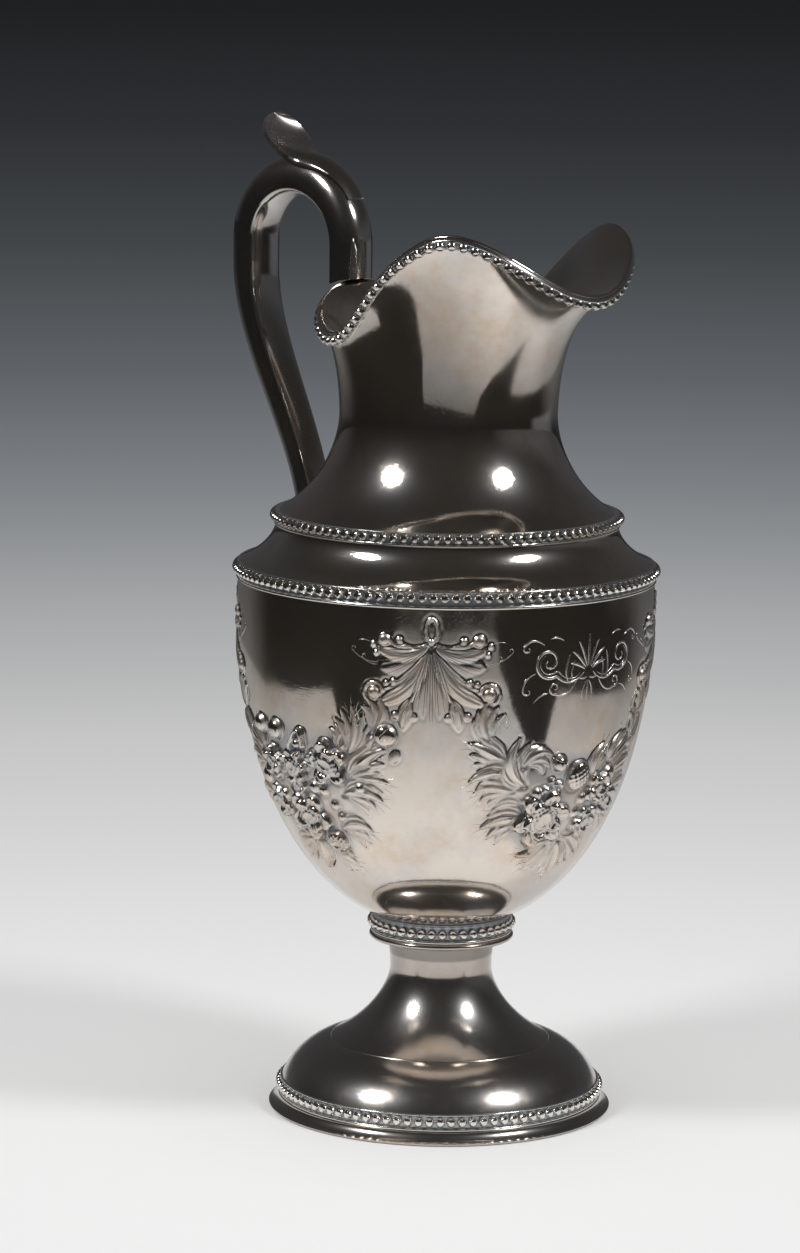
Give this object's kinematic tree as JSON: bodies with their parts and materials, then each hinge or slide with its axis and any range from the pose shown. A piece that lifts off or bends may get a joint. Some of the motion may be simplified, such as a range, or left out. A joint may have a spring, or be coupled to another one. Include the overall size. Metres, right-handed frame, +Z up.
{
  "type": "silver ewer",
  "caption": "Tall footed silver ewer with beaded borders, a bowl chased with flower swags, a waisted neck with a wavy pouring mouth and a hollow loop handle with a leaf thumb rest.",
  "frame": {"origin": "centre of the ring that the foot stands on, at floor level", "axes": "+Z up along the axis of the bowl, +X towards the pouring lip, -X towards the handle"},
  "size_m": [0.1828, 0.1544, 0.3585],
  "materials": {
    "silver_body": "polished silver with a soft old haze",
    "silver_beads": "polished silver, dark in the recesses",
    "silver_handle": "polished silver"
  },
  "bodies": {
    "root": {"foot_rim": "silver_body", "foot_bead_band": "silver_beads", "foot_dome": "silver_body", "stem": "silver_body", "stem_collar": "silver_body", "collar_bead_band": "silver_beads", "bowl": "silver_body", "swag_1": "silver_body", "swag_2": "silver_body", "swag_3": "silver_body", "swag_4": "silver_body", "pendant_1": "silver_body", "pendant_2": "silver_body", "pendant_3": "silver_body", "pendant_4": "silver_body", "shoulder_bead_band": "silver_beads", "shoulder": "silver_body", "neck_bead_band": "silver_beads", "neck": "silver_body", "rim_bead_wire": "silver_beads", "handle_shell": "silver_handle", "handle_strip": "silver_handle", "thumb_rest": "silver_handle"}
  },
  "joints": []
}
